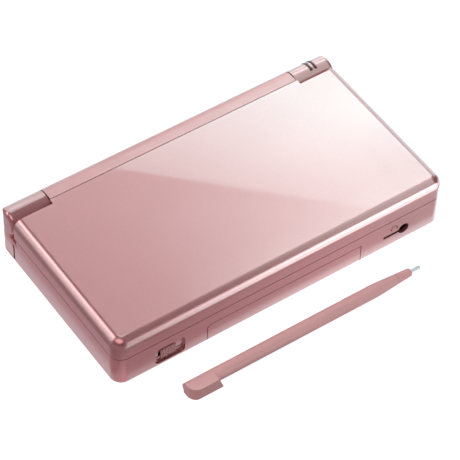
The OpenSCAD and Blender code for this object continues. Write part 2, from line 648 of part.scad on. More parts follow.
module shoulder() {
  difference() {
    union() {
      translate([0, 0, sh_z0]) linear_extrude(sh_z1 - sh_z0) intersection() {
        difference() { rrect(body_w, body_d, corner_r); rrect(body_w - 3.4, body_d - 3.4, corner_r - 1.7); }
        translate([-hw - 1, sh_y0]) square([hw + 1 - sh_x0, 20]);
      }
      translate([-sh_pin[0], sh_pin[1], sh_z0]) cylinder(r = 1.7, h = sh_z1 - sh_z0);
      // striker that meets the switch
      bx([-59.2, 33.2, 4.4], [-56.8, 35.4, 7.2]);
    }
    translate([-sh_pin[0], sh_pin[1], 0]) cylinder(r = 0.66, h = 20);
    // front top corner rounded off on the side face
    translate([-hw - 1, sh_y0, sh_z1]) rotate([0, 90, 0]) difference() {
      translate([-0.1, -0.1, 0]) cube([1.9, 1.9, 4]);
      translate([1.8, 1.8, -1]) cylinder(r = 1.8, h = 6);
    }
  }
}
module shoulder_left() { color(rose) shoulder(); }
module shoulder_right() { color(rose) mirror([1, 0, 0]) shoulder(); }

module volume_slider() {
  color(rose_light) translate([vol_c[0] - 0.6, 0, vol_c[1]]) difference() {
    union() {
      bx([-2.9, -hd + 0.15, -1.9], [2.9, -hd + 0.9, 1.9]);
      bx([-2.2, -hd + 0.8, -1.2], [2.2, -34.3, 1.2]);
      bx([-0.7, -34.4, -0.6], [0.7, -32.6, 0.6]);
    }
    for (i = [-2:2]) bx([i * 1.1 - 0.25, -hd, -2], [i * 1.1 + 0.25, -hd + 0.45, 2]);
  }
}
module power_slider() {
  color(rose_light) translate([0, pwr_c[0] - 1, pwr_c[1]]) difference() {
    union() {
      bx([hw - 0.8, -2.8, -1.6], [hw - 0.1, 2.8, 1.6]);
      bx([63.9, -2.4, -1.0], [hw - 0.7, 2.4, 1.0]);
      bx([62.4, -0.7, -0.45], [64.0, 0.7, 0.45]);
    }
    for (i = [-2:2]) bx([hw - 0.45, i * 1.0 - 0.22, -2], [hw, i * 1.0 + 0.22, 2]);
  }
}

// Stylus lying in front of the console, tip to the right
module stylus_body() {
  x0 = -49;
  zc = stylus_r + 0.5;
  shaft_end = x0 + stylus_len - 4;
  color(rose) difference() {
    union() {
      // shaft with a long taper to the tip
      translate([x0 + 2, -stylus_y, zc]) rotate([0, 90, 0]) rotate_extrude() polygon([
        [0, 0], [stylus_r, 0], [stylus_r, stylus_len - 23], [stylus_r - 0.12, stylus_len - 19],
        [1.45, stylus_len - 6.6], [1.2, stylus_len - 6], [0, stylus_len - 6]]);
      // cap: shaft's round back, flat top, square front, rounded far end
      intersection() {
        union() {
          cx(stylus_r, x0, x0 + cap_len, -stylus_y, zc);
          bx([x0, -stylus_y - cap_w + stylus_r, 0], [x0 + cap_len, -stylus_y, zc + stylus_r]);
          bx([x0, -stylus_y - cap_w + stylus_r, 0], [x0 + cap_len, -stylus_y + stylus_r - 0.8, zc]);
        }
        translate([0, -stylus_y - cap_w + stylus_r, -1]) linear_extrude(12) union() {
          translate([x0 + 3.6, 0]) square([cap_len, cap_w]);
          translate([x0, 3.6]) square([cap_len, cap_w]);
          translate([x0 + 3.6, 3.6]) circle(3.6);
        }
      }
    }
    // socket for the nib
    cx(0.62, shaft_end - 5, shaft_end + 1, -stylus_y, zc);
  }
}
module stylus_nib() {
  x0 = -49;
  zc = stylus_r + 0.5;
  shaft_end = x0 + stylus_len - 4;
  color("white") union() {
    cx(0.6, shaft_end - 4.8, shaft_end + 3.4, -stylus_y, zc);
    translate([shaft_end + 3.4, -stylus_y, zc]) sphere(r = 0.6);
  }
}

lower_case();
upper_case();
battery_cover();
battery_cover_screw();
battery_pack();
battery_contacts();
main_board();
board_chips();
rf_shield();
wifi_module();
slot1_reader();
slot2_connector();
touch_panel();
lower_lcd();
dpad_membrane();
face_button_membrane();
start_select_membrane();
shoulder_pins();
shoulder_switches();
volume_potentiometer();
power_switch();
headphone_jack();
power_connector();
led_pipe_power();
led_pipe_charge();
case_screws();
rubber_feet();
strap_bar();
stylus_silo();
hinge_sleeve_left();
hinge_unit_right();
lid_case();
lid_bezel();
upper_lcd();
upper_window();
speaker_left();
speaker_right();
screen_flex();
microphone();
antenna_strip();
lid_bumpers();
lid_screws();
hinge_click_housing();
slot2_dust_cover();
dpad();
button_a();
button_b();
button_x();
button_y();
button_start();
button_select();
shoulder_left();
shoulder_right();
volume_slider();
power_slider();
stylus_body();
stylus_nib();
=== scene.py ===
import json
import math
import bpy
import bmesh
from mathutils import Vector, Matrix


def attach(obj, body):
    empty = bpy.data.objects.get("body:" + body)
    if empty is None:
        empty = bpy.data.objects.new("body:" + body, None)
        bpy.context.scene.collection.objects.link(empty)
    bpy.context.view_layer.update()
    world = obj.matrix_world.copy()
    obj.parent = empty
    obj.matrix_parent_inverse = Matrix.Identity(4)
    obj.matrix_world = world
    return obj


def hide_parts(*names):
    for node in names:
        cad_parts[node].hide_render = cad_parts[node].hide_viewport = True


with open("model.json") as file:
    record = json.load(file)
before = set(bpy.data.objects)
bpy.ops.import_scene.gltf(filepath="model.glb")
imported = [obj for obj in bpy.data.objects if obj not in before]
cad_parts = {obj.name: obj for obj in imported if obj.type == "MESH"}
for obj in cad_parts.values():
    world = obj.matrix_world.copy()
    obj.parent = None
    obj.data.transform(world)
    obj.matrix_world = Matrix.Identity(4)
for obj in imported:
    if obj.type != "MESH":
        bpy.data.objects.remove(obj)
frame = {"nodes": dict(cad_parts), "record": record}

MM = 0.001
NODES = frame["nodes"]
NODE_BODY = {n: b for b, ns in frame["record"]["behaviour"]["bodies"].items() for n in ns}
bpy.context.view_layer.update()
COL = bpy.context.scene.collection

# ---------------------------------------------------------------- camera

def make_camera():
    cam = bpy.data.cameras.new("camera")
    ob = bpy.data.objects.new("camera", cam)
    COL.objects.link(ob)
    a, e, roll = math.radians(-35.68), math.radians(49.42), math.radians(1.835)
    fwd = -Vector((math.sin(a) * math.cos(e), -math.cos(a) * math.cos(e), math.sin(e)))
    right0 = fwd.cross(Vector((0, 0, 1))).normalized()
    up0 = right0.cross(fwd)
    right = math.cos(roll) * right0 + math.sin(roll) * up0
    up = right.cross(fwd)
    m = Matrix((right, up, -fwd)).transposed().to_4x4()
    m.translation = Vector((-0.32903, -0.46281, 0.66432))
    ob.matrix_world = m
    cam.sensor_width = 36
    cam.lens = 199.04
    cam.clip_start = 0.02
    cam.clip_end = 20
    cam.dof.use_dof = False
    bpy.context.scene.camera = ob

make_camera()

# ---------------------------------------------------------------- node helpers

class Tree:
    """Small builder for shader trees."""
    def __init__(self, tree):
        self.t = tree
        self.t.nodes.clear()

    def n(self, kind, **kw):
        node = self.t.nodes.new(kind)
        for k, v in kw.items():
            setattr(node, k, v)
        return node

    def link(self, a, b):
        self.t.links.new(a, b)

    def put(self, socket, value):
        if isinstance(value, bpy.types.NodeSocket):
            self.t.links.new(value, socket)
        else:
            socket.default_value = value

    def math(self, op, a, b=None, clamp=False):
        m = self.n("ShaderNodeMath", operation=op)
        m.use_clamp = clamp
        self.put(m.inputs[0], a)
        if b is not None:
            self.put(m.inputs[1], b)
        return m.outputs[0]

    def remap(self, x, a, b, c=0.0, d=1.0, smooth=True):
        m = self.n("ShaderNodeMapRange")
        m.interpolation_type = "SMOOTHSTEP" if smooth else "LINEAR"
        m.clamp = True
        self.put(m.inputs["Value"], x)
        self.put(m.inputs["From Min"], a)
        self.put(m.inputs["From Max"], b)
        self.put(m.inputs["To Min"], c)
        self.put(m.inputs["To Max"], d)
        return m.outputs["Result"]

    def mix(self, fac, a, b):
        m = self.n("ShaderNodeMix", data_type="RGBA")
        self.put(m.inputs["Factor"], fac)
        self.put(m.inputs["A"], a)
        self.put(m.inputs["B"], b)
        return m.outputs["Result"]

    def noise(self, vec, scale, detail=2.0, rough=0.5):
        m = self.n("ShaderNodeTexNoise")
        self.put(m.inputs["Vector"], vec)
        m.inputs["Scale"].default_value = scale
        m.inputs["Detail"].default_value = detail
        m.inputs["Roughness"].default_value = rough
        return m.outputs["Fac"]

    def obj_coords(self):
        return self.n("ShaderNodeTexCoord").outputs["Object"]


def lin(c):
    """sRGB 0-255 to linear RGBA."""
    out = []
    for v in c:
        v /= 255.0
        out.append(v / 12.92 if v <= 0.04045 else ((v + 0.055) / 1.055) ** 2.4)
    return (*out, 1.0)


def principled(name, base, rough=0.4, metallic=0.0, coat=0.0, coat_rough=0.03, coat_ior=1.5, ior=1.5,
               transmission=0.0, spec=0.5, var=0.06, var_scale=60.0, fine=0.05, fine_scale=2500.0,
               rough_var=0.06, bump=0.0, bump_scale=3000.0, bump_dist=0.00005, second=None, sub=0.0, tint=(1.0, 1.0, 1.0, 1.0)):
    """Procedural surface: large and fine colour variation, uneven roughness and a moulded bump."""
    mat = bpy.data.materials.new(name)
    mat.use_nodes = True
    t = Tree(mat.node_tree)
    out = t.n("ShaderNodeOutputMaterial")
    p = t.n("ShaderNodeBsdfPrincipled")
    t.link(p.outputs[0], out.inputs[0])
    co = t.obj_coords()
    broad = t.noise(co, var_scale, 3.0, 0.55)
    grain = t.noise(co, fine_scale, 2.0, 0.6)
    dark = tuple(c * (1 - var) for c in base[:3]) + (1.0,)
    light = tuple(min(1.0, c * (1 + var)) for c in base[:3]) + (1.0,)
    if second is not None:
        light = second
    c1 = t.mix(t.remap(broad, 0.3, 0.7), dark, light)
    g_dark = tuple(c * (1 - fine) for c in (1, 1, 1)) + (1.0,)
    g_light = (1.0, 1.0, 1.0, 1.0)
    g = t.mix(t.remap(grain, 0.35, 0.65), g_dark, g_light)
    mul = t.n("ShaderNodeMix", data_type="RGBA", blend_type="MULTIPLY")
    mul.inputs["Factor"].default_value = 1.0
    t.link(c1, mul.inputs["A"])
    t.link(g, mul.inputs["B"])
    t.link(mul.outputs["Result"], p.inputs["Base Color"])
    r = t.remap(t.noise(co, var_scale * 4.0, 3.0, 0.6), 0.25, 0.75, max(0.0, rough - rough_var), min(1.0, rough + rough_var))
    t.link(r, p.inputs["Roughness"])
    p.inputs["Metallic"].default_value = metallic
    p.inputs["IOR"].default_value = ior
    p.inputs["Specular IOR Level"].default_value = spec
    p.inputs["Transmission Weight"].default_value = transmission
    p.inputs["Coat Weight"].default_value = coat
    p.inputs["Coat Roughness"].default_value = coat_rough
    p.inputs["Coat IOR"].default_value = coat_ior
    p.inputs["Subsurface Weight"].default_value = sub
    p.inputs["Specular Tint"].default_value = tint
    if sub:
        p.inputs["Subsurface Radius"].default_value = (0.002, 0.001, 0.001)
        p.inputs["Subsurface Scale"].default_value = 1.0
    if bump:
        b = t.n("ShaderNodeBump")
        b.inputs["Strength"].default_value = bump
        b.inputs["Distance"].default_value = bump_dist
        t.link(t.noise(co, bump_scale, 3.0, 0.6), b.inputs["Height"])
        t.link(b.outputs[0], p.inputs["Normal"])
    return mat


ROSE = (0.455, 0.150, 0.158, 1.0)
MATS = {
    "shell_gloss": principled("shell_gloss", ROSE, rough=0.33, metallic=0.70, coat=1.0, coat_rough=0.02, coat_ior=1.5,
                              var=0.008, fine=0.10, fine_scale=6000.0, rough_var=0.012),
    "shell_satin": principled("shell_satin", (0.505, 0.160, 0.167, 1.0), rough=0.40, metallic=0.6, coat=0.5, coat_rough=0.22, coat_ior=1.6, var=0.02, fine=0.08,
                              fine_scale=5000.0, bump=0.15, bump_scale=4000.0, bump_dist=0.00002),
    "key_plastic": principled("key_plastic", (0.60, 0.25, 0.262, 1.0), rough=0.42, metallic=0.0, var=0.03, bump=0.1, bump_dist=0.00002),
    "stylus_plastic": principled("stylus_plastic", (0.68, 0.295, 0.30, 1.0), rough=0.5, spec=0.3, var=0.03, bump=0.1, bump_dist=0.00002),
    "nib_plastic": principled("nib_plastic", (0.62, 0.62, 0.61, 1.0), rough=0.4, var=0.04, sub=0.3),
    "screw_steel": principled("screw_steel", (0.62, 0.60, 0.58, 1.0), rough=0.3, metallic=1.0, var=0.1, bump=0.3, bump_scale=1800.0),
    "contact_gold": principled("contact_gold", (0.9, 0.62, 0.24, 1.0), rough=0.25, metallic=1.0, var=0.1),
    "battery_wrap": principled("battery_wrap", (0.20, 0.21, 0.23, 1.0), rough=0.45, var=0.15),
    "board_green": principled("board_green", (0.03, 0.16, 0.07, 1.0), rough=0.35, var=0.2, second=(0.05, 0.22, 0.09, 1.0)),
    "flex_amber": principled("flex_amber", (0.62, 0.28, 0.06, 1.0), rough=0.35, var=0.15),
    "inner_black": principled("inner_black", (0.030, 0.022, 0.024, 1.0), rough=0.5, var=0.3, bump=0.2),
    "lcd_glass": principled("lcd_glass", (0.030, 0.031, 0.034, 1.0), rough=0.22, spec=0.4, var=0.05, var_scale=25.0, rough_var=0.02, fine=0.25, fine_scale=9000.0, tint=(1.0, 0.48, 0.50, 1.0)),
    "clear_cover": principled("clear_cover", (0.96, 0.90, 0.90, 1.0), rough=0.10, transmission=1.0, ior=1.22, spec=0.2, var=0.01, fine=0.01, rough_var=0.02, tint=(1.0, 0.48, 0.50, 1.0)),
    "light_pipe": principled("light_pipe", (0.085, 0.045, 0.05, 1.0), rough=0.30, spec=0.25, var=0.12, tint=(1.0, 0.6, 0.62, 1.0)),
    "key_membrane": principled("key_membrane", (0.7, 0.7, 0.68, 1.0), rough=0.6, var=0.05, bump=0.2),
    "foot_rubber": principled("foot_rubber", (0.42, 0.2, 0.2, 1.0), rough=0.7, var=0.08, bump=0.3),
}

# ---------------------------------------------------------------- stage

def emission_card(name, verts, build):
    me = bpy.data.meshes.new(name)
    me.from_pydata([Vector(v) for v in verts], [], [tuple(range(len(verts)))])
    ob = bpy.data.objects.new(name, me)
    COL.objects.link(ob)
    mat = bpy.data.materials.new(name)
    mat.use_nodes = True
    t = Tree(mat.node_tree)
    out = t.n("ShaderNodeOutputMaterial")
    em = t.n("ShaderNodeEmission")
    t.link(em.outputs[0], out.inputs[0])
    build(t, em)
    me.materials.append(mat)
    ob.visible_camera = False
    ob.visible_shadow = False
    return ob


def ceiling_light(t, em):
    """Overhead softboxes as one painted sheet: a crisp-edged key, its soft skirt, a long right bank and a left strip."""
    sep = t.n("ShaderNodeSeparateXYZ")
    t.link(t.obj_coords(), sep.inputs[0])
    x, y = sep.outputs[0], sep.outputs[1]
    mul, add = (lambda a, b: t.math("MULTIPLY", a, b)), (lambda a, b: t.math("ADD", a, b))
    u = add(x, y)
    end = mul(t.remap(x, 0.90, 0.50, 0.0, 1.0, smooth=False), t.remap(y, 0.74, 0.68))
    crisp = mul(t.remap(u, 0.866, 0.870),
                add(t.remap(y, 0.43, 0.53, 1.4, 3.0),
                    mul(t.remap(u, 0.867, 1.005, 0.0, 5.6, smooth=False), t.remap(y, 0.42, 0.52))))
    glow = mul(mul(t.remap(x, 0.27, 0.44, 0.0, 4.8, smooth=False), t.remap(y, 0.57, 0.44)), t.remap(y, 0.36, 0.42))
    mid = mul(t.remap(x, 0.13, 0.20, 0.0, 0.12), t.remap(y, 0.34, 0.42))
    xs = add(x, mul(t.math("MINIMUM", y, 0.0), 0.15))
    right = mul(mul(t.math("POWER", t.remap(xs, 0.20, 0.36, smooth=False), 1.6), 3.4), t.remap(y, 0.46, 0.40))
    right = mul(right, t.remap(xs, 0.57, 0.45))
    right = mul(right, t.remap(y, -0.75, -0.60))
    right = add(right, mul(mul(t.remap(y, -0.36, -0.66), t.remap(x, 0.40, 0.52)), 1.6))
    left = mul(t.remap(x, -0.11, -0.27), t.remap(x, -0.85, -0.44, 4.8, 9.0, smooth=False))
    left = mul(left, mul(t.remap(y, 0.36, 0.42), t.remap(y, 0.74, 0.68)))
    xk = add(x, mul(add(y, -0.57), -0.17))
    low = mul(t.remap(y, 0.20, 0.42, 0.0, 10.5, smooth=False), t.remap(y, 0.43, 0.41))
    crest = mul(mul(t.remap(xk, 0.17, 0.20), t.remap(xk, 0.262, 0.246)), add(low, mul(t.remap(y, 0.554, 0.580), 8.0)))
    tot = add(mul(add(add(crisp, glow), add(mid, right)), end), add(add(left, crest), 0.05))
    t.link(tot, em.inputs["Strength"])
    t.link(t.mix(t.remap(x, 0.10, 0.0), t.mix(t.remap(u, 0.87, 1.01), KEY_TINT, FAR_TINT), LEFT_TINT), em.inputs["Color"])


def front_light(t, em):
    sep = t.n("ShaderNodeSeparateXYZ")
    t.link(t.obj_coords(), sep.inputs[0])
    x, z = sep.outputs[0], sep.outputs[2]
    s = t.math("MULTIPLY", t.remap(x, 0.165, 0.37, smooth=False),
               t.remap(t.math("SUBTRACT", z, t.math("MULTIPLY", t.remap(x, 0.20, 0.42, smooth=False), 0.22)), 0.44, 0.08))
    gloss = t.remap(t.n("ShaderNodeLightPath").outputs["Is Glossy Ray"], 0.0, 1.0, 1.5, 10.8)
    t.link(t.math("MULTIPLY", s, gloss), em.inputs["Strength"])
    em.inputs["Color"].default_value = FRONT_TINT


def left_light(t, em):
    sep = t.n("ShaderNodeSeparateXYZ")
    t.link(t.obj_coords(), sep.inputs[0])
    y, z = sep.outputs[1], sep.outputs[2]
    s = t.math("MULTIPLY", t.remap(y, 0.30, 0.40), t.remap(y, 0.80, 0.70))
    t.link(t.math("MULTIPLY", s, t.remap(z, 0.05, 0.68, 1.4, 4.6)), em.inputs["Strength"])
    em.inputs["Color"].default_value = SIDE_TINT


def over_light(t, em):
    sep = t.n("ShaderNodeSeparateXYZ")
    t.link(t.obj_coords(), sep.inputs[0])
    x, y = sep.outputs[0], sep.outputs[1]
    s = t.math("MULTIPLY", t.math("MULTIPLY", t.remap(x, -0.80, -0.60), t.remap(x, 0.06, -0.14)),
               t.math("MULTIPLY", t.remap(y, -0.70, -0.50), t.remap(y, 0.20, 0.00)))
    t.link(t.math("MULTIPLY", s, 2.6), em.inputs["Strength"])
    em.inputs["Color"].default_value = SOFT_TINT


def back_light(t, em):
    sep = t.n("ShaderNodeSeparateXYZ")
    t.link(t.obj_coords(), sep.inputs[0])
    x, z = sep.outputs[0], sep.outputs[2]
    s = t.math("MULTIPLY", t.remap(x, -0.40, -0.10), t.remap(z, 0.18, 0.46, 0.6, 1.7))
    v = t.math("ADD", t.remap(x, 0.37, 0.50, 0.55, 3.0), t.remap(x, 0.335, 0.312, 0.0, 1.3))
    t.link(t.math("MULTIPLY", s, v), em.inputs["Strength"])
    em.inputs["Color"].default_value = REAR_TINT


def right_light(t, em):
    sep = t.n("ShaderNodeSeparateXYZ")
    t.link(t.obj_coords(), sep.inputs[0])
    y, z = sep.outputs[1], sep.outputs[2]
    s = t.math("MULTIPLY", t.remap(y, 0.15, 0.40), t.remap(z, 0.0, 0.1, 0.6, 1.0))
    t.link(t.math("MULTIPLY", s, 2.6), em.inputs["Strength"])
    em.inputs["Color"].default_value = RIGHT_TINT


KEY_TINT = (0.62, 0.95, 0.92, 1.0)
FAR_TINT = (0.46, 0.97, 0.93, 1.0)
LEFT_TINT = (0.64, 0.79, 0.77, 1.0)
FRONT_TINT = (0.62, 1.0, 0.98, 1.0)
SIDE_TINT = (0.64, 1.0, 0.97, 1.0)
REAR_TINT = (0.70, 1.0, 0.99, 1.0)
RIGHT_TINT = (0.64, 0.97, 0.97, 1.0)
SOFT_TINT = (1.0, 0.985, 0.975, 1.0)
emission_card("ceiling_light", [(-0.86, -0.8, 0.72), (-0.86, 0.8, 0.72), (1.0, 0.8, 0.72), (1.0, -0.8, 0.72)], ceiling_light)
emission_card("front_light", [(0.04, -0.75, 0.0), (0.9, -0.75, 0.0), (0.9, -0.75, 0.72), (0.04, -0.75, 0.72)], front_light)
emission_card("left_light", [(-0.86, 0.28, 0.04), (-0.86, 0.28, 0.70), (-0.86, 0.82, 0.70), (-0.86, 0.82, 0.04)], left_light)

emission_card("over_light", [(-0.82, -0.72, 0.715), (-0.82, 0.22, 0.715), (0.08, 0.22, 0.715), (0.08, -0.72, 0.715)], over_light)
emission_card("back_light", [(-0.45, 0.95, 0.02), (1.0, 0.95, 0.02), (1.0, 0.95, 0.72), (-0.45, 0.95, 0.72)], back_light)
emission_card("right_light", [(1.0, 0.10, 0.0), (1.0, 0.95, 0.0), (1.0, 0.95, 0.70), (1.0, 0.10, 0.70)], right_light)


def make_floor():
    bm = bmesh.new()
    bmesh.ops.create_grid(bm, x_segments=24, y_segments=24, size=4.0)
    bmesh.ops.translate(bm, verts=bm.verts, vec=(0, 0, -0.00003))
    me = bpy.data.meshes.new("floor")
    bm.to_mesh(me)
    bm.free()
    ob = bpy.data.objects.new("floor", me)
    COL.objects.link(ob)
    mat = bpy.data.materials.new("floor")
    mat.use_nodes = True
    t = Tree(mat.node_tree)
    out = t.n("ShaderNodeOutputMaterial")
    d = t.n("ShaderNodeBsdfDiffuse")
    d.inputs["Color"].default_value = (0.20, 0.20, 0.20, 1.0)
    em = t.n("ShaderNodeEmission")
    lp = t.n("ShaderNodeLightPath")
    sep = t.n("ShaderNodeSeparateXYZ")
    t.link(t.obj_coords(), sep.inputs[0])
    y = sep.outputs[1]
    x = sep.outputs[0]
    # painted light: a patch of floor just in front of the case glows brighter for all but camera rays
    painted_light_pool = t.math("MULTIPLY", t.remap(y, -0.053, -0.072), t.remap(y, -0.28, -0.16))
    mul, gloss = (lambda a, b: t.math("MULTIPLY", a, b)), lp.outputs["Is Glossy Ray"]
    # painted highlight: the near front patch glows strongly for glossy rays only, widening the highlight along the
    # lid's front edge
    painted_shine_pool = mul(mul(painted_light_pool, t.remap(x, -0.09, 0.05)), gloss)
    # painted light in front of the case: the near patch plus everything beyond the front face, ramped brighter to the
    # right below
    front = t.math("ADD", mul(painted_light_pool, 0.35), mul(t.remap(y, -0.01, -0.03), 0.5))
    # mask of a strip of floor beside the left face, used below for painted shade and painted bounce glows
    beside = mul(mul(t.remap(x, -0.0870, -0.0820), t.remap(x, -0.060, -0.064)), t.remap(y, -0.050, -0.040))
    # floor glow for non-camera rays: an even base, plus the painted light in front, less a painted shade beside the
    # left face
    floor_glow_painted = t.math("ADD", mul(front, t.remap(x, -0.06, 0.08)), t.math("SUBTRACT", 0.26, mul(beside, 0.20)))
    # painted reflections for the two near faces: glows painted on the floor, seen only by glossy rays, stand in for
    # bounce light, pink beside the case and whitish right under its edge
    painted_rosy_bounce = mul(beside, t.remap(x, -0.0785, -0.0755, 0.05, 0.44))
    # strip just in front of the case that also gets the painted pink bounce glow
    fore = mul(mul(t.remap(y, -0.052, -0.047), t.remap(x, 0.058, 0.03)), mul(t.remap(x, -0.068, -0.064), t.remap(y, -0.035, -0.037)))
    painted_rosy_bounce = mul(t.math("ADD", painted_rosy_bounce, mul(fore, 0.30)), gloss)
    # painted reflection: whitish glows under the left face and under the front edge, seen only by glossy rays
    side = mul(beside, t.remap(x, -0.0712, -0.0685, 0.0, 0.45))
    brow = mul(mul(t.remap(y, -0.0412, -0.0387), t.remap(x, -0.068, -0.060)), t.remap(x, -0.06, 0.02, 0.7, 1.25))
    painted_pale_bounce = mul(t.math("MAXIMUM", side, brow), gloss)
    # emissions of the painted reflections: pink bounce, whitish bounce and the front highlight glow
    glow = []
    for color, strength in (((1.0, 0.50, 0.60, 1.0), painted_rosy_bounce), ((0.60, 1.0, 1.0, 1.0), painted_pale_bounce), ((0.48, 1.0, 0.97, 1.0), mul(painted_shine_pool, 4.5))):
        g = t.n("ShaderNodeEmission")
        g.inputs["Color"].default_value = color
        t.link(strength, g.inputs["Strength"])
        glow.append(g)
    m = t.n("ShaderNodeMix", data_type="FLOAT")
    t.link(lp.outputs["Is Camera Ray"], m.inputs[0])
    t.link(floor_glow_painted, m.inputs[2])
    m.inputs[3].default_value = 0.94
    t.link(m.outputs[0], em.inputs["Strength"])
    add = t.n("ShaderNodeAddShader")
    t.link(d.outputs[0], add.inputs[0])
    t.link(em.outputs[0], add.inputs[1])
    for g in glow:
        more = t.n("ShaderNodeAddShader")
        t.link(add.outputs[0], more.inputs[0])
        t.link(g.outputs[0], more.inputs[1])
        add = more
    t.link(add.outputs[0], out.inputs[0])
    me.materials.append(mat)


make_floor()

world = bpy.data.worlds.new("studio")
world.use_nodes = True
bpy.context.scene.world = world
wt = Tree(world.node_tree)
wo = wt.n("ShaderNodeOutputWorld")
bg = wt.n("ShaderNodeBackground")
wt.link(bg.outputs[0], wo.inputs[0])
sep = wt.n("ShaderNodeSeparateXYZ")
wt.link(wt.n("ShaderNodeTexCoord").outputs["Generated"], sep.inputs[0])
horizon = wt.remap(sep.outputs[2], 0.36, 0.0, 0.05, 0.9)
cam_ray = wt.n("ShaderNodeLightPath").outputs["Is Camera Ray"]
wt.link(wt.math("MAXIMUM", horizon, wt.math("MULTIPLY", cam_ray, 0.95)), bg.inputs["Strength"])
bg.inputs["Color"].default_value = (1, 1, 1, 1)

bpy.context.scene.view_settings.view_transform = "Standard"

# ---------------------------------------------------------------- pieces from the CAD

SLOT_OF = {s["node"]: s["material_slot"] for s in frame["record"]["subparts"]}


def shade(ob, angle=35.0):
    """Smooth shading with hard edges kept and normals weighted by face area, so flats stay flat."""
    me = ob.data
    for p in me.polygons:
        p.use_smooth = True
    me.set_sharp_from_angle(angle=math.radians(angle))
    w = ob.modifiers.new("normals", "WEIGHTED_NORMAL")
    w.mode = "FACE_AREA"
    w.weight = 60
    w.keep_sharp = True
    apply_modifiers(ob)


def apply_modifiers(ob):
    dg = bpy.context.evaluated_depsgraph_get()
    dg.update()
    me = bpy.data.meshes.new_from_object(ob.evaluated_get(dg))
    old = ob.data
    ob.modifiers.clear()
    ob.data = me
    bpy.data.meshes.remove(old)


def from_cad(node, name, bevel=0.15, segments=2, angle=30.0, slot=None, dissolve=0.4):
    """A rounded, cleaned copy of a CAD piece: flat faces merged, edges softened, weighted normals."""
    src = NODES[node].data
    bm = bmesh.new()
    bm.from_mesh(src)
    bmesh.ops.remove_doubles(bm, verts=bm.verts, dist=2e-6)
    bmesh.ops.dissolve_limit(bm, angle_limit=math.radians(dissolve), verts=bm.verts, edges=bm.edges, delimit=set())
    me = bpy.data.meshes.new(name)
    bm.to_mesh(me)
    bm.free()
    ob = bpy.data.objects.new(name, me)
    COL.objects.link(ob)
    if bevel:
        b = ob.modifiers.new("bevel", "BEVEL")
        b.limit_method = "ANGLE"
        b.angle_limit = math.radians(angle)
        b.width = bevel * MM
        b.segments = segments
        b.use_clamp_overlap = True
        b.harden_normals = False
        apply_modifiers(ob)
    shade(ob, 40.0)
    ob.data.materials.clear()
    slot = slot or SLOT_OF.get(node, "shell_satin")
    ob.data.materials.append(MATS[slot])
    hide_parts(node)
    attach(ob, NODE_BODY[node])
    return ob



# ---------------------------------------------------------------- solid building, millimetres

HW, HD, CR = 66.5, 36.95, 4.5
BASE_TOP, LID_Z0, TOP = 13.1, 13.3, 21.4


def arc(cx, cy, r, a0, a1, n):
    return [(cx + r * math.cos(math.radians(a0 + (a1 - a0) * i / n)), cy + r * math.sin(math.radians(a0 + (a1 - a0) * i / n))) for i in range(n + 1)]


def rr(w, d, r, n=16, cx=0.0, cy=0.0):
    """Rounded rectangle, counter-clockwise."""
    out = []
    for sx, sy, a in ((1, 1, 0), (-1, 1, 90), (-1, -1, 180), (1, -1, 270)):
        out += arc(cx + sx * (w / 2 - r), cy + sy * (d / 2 - r), r, a, a + 90, n)
    return out


def loft(rings):
    """Closed solid through rings of equal length, bottom to top; each ring is a list of 3-D points in mm."""
    bm = bmesh.new()
    vs = [[bm.verts.new(Vector(p) * MM) for p in ring] for ring in rings]
    k = len(vs[0])
    for a, b in zip(vs, vs[1:]):
        for i in range(k):
            j = (i + 1) % k
            bm.faces.new((a[i], a[j], b[j], b[i]))
    bm.faces.new(list(reversed(vs[0])))
    bm.faces.new(vs[-1])
    bmesh.ops.recalc_face_normals(bm, faces=bm.faces)
    return bm


def case_solid(prof, n=18):
    """The console's rounded plan swept up a profile of (inset, z)."""
    rings = []
    for inset, z in prof:
        rings.append([(x, y, z) for x, y in rr(2 * (HW - inset), 2 * (HD - inset), CR - inset, n)])
    return loft(rings)


def prism(pts, lo, hi, axis="z"):
    if axis == "z":
        f = lambda u, v, w: (u, v, w)
    elif axis == "y":
        f = lambda u, v, w: (u, w, v)
    else:
        f = lambda u, v, w: (w, u, v)
    return loft([[f(u, v, lo) for u, v in pts], [f(u, v, hi) for u, v in pts]])


def box(a, b):
    return prism([(a[0], a[1]), (b[0], a[1]), (b[0], b[1]), (a[0], b[1])], a[2], b[2])


def cyl(r, lo, hi, u, v, axis="z", n=48):
    return prism([(u + r * math.cos(2 * math.pi * i / n), v + r * math.sin(2 * math.pi * i / n)) for i in range(n)], lo, hi, axis)


def obj_from(bm, name):
    me = bpy.data.meshes.new(name)
    bm.to_mesh(me)
    bm.free()
    ob = bpy.data.objects.new(name, me)
    COL.objects.link(ob)
    return ob


def combine(base, ops, name):
    """Applies ("DIFFERENCE" | "UNION" | "INTERSECT", solid) in order to a solid."""
    ob = obj_from(base, name)
    tools = []
    for op, bm in ops:
        t = obj_from(bm, name + "_tool")
        tools.append(t)
        m = ob.modifiers.new(op, "BOOLEAN")
        m.operation = op
        m.solver = "EXACT"
        m.object = t
    apply_modifiers(ob)
    for t in tools:
        me = t.data
        bpy.data.objects.remove(t)
        bpy.data.meshes.remove(me)
    return ob


